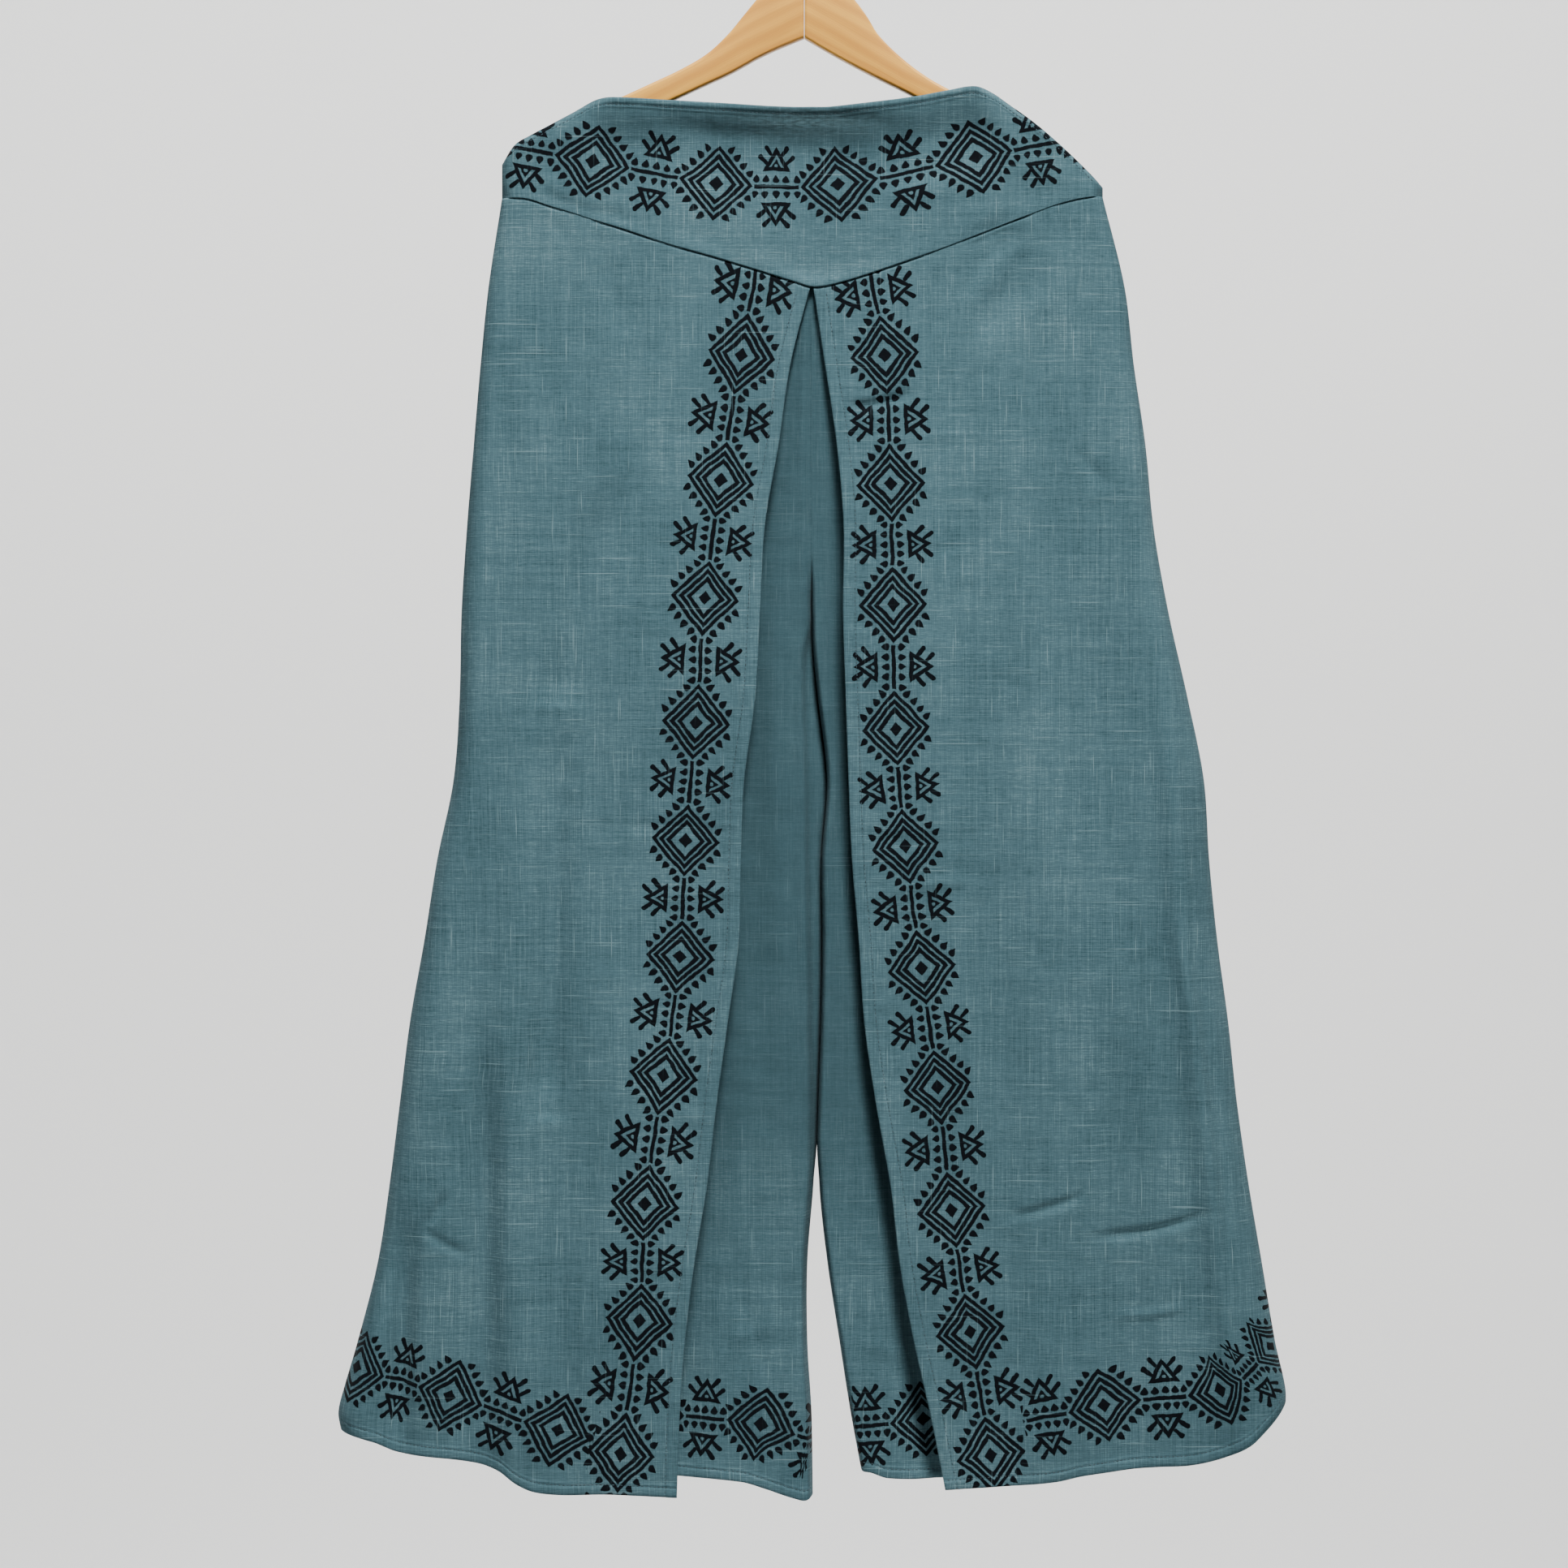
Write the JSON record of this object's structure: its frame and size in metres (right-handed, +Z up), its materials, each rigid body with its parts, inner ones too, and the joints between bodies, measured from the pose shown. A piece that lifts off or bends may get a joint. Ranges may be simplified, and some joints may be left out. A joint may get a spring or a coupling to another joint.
{
  "type": "cotton trousers on a wooden hanger",
  "caption": "Wide-legged cotton trousers with loose outer front panels, hung by the waist on a plain wooden hanger.",
  "frame": {"origin": "inside top of the hanger's hook, where a rail or wall hook carries it", "axes": "+Z up along the hanging trousers, +Y from the front of the trousers to their back"},
  "size_m": [0.6936, 0.06, 1.1836],
  "materials": {
    "cotton": "matt slub weave with black block print",
    "wood": "satin lacquered pale wood",
    "wire": "plated steel wire"
  },
  "bodies": {
    "root": {"yoke_front": "cotton", "yoke_back": "cotton", "overlay_right": "cotton", "overlay_left": "cotton", "leg_front_right": "cotton", "leg_front_left": "cotton", "leg_back_right": "cotton", "leg_back_left": "cotton", "hanger_arm_right": "wood", "hanger_arm_left": "wood", "hanger_hook": "wire"}
  },
  "joints": []
}
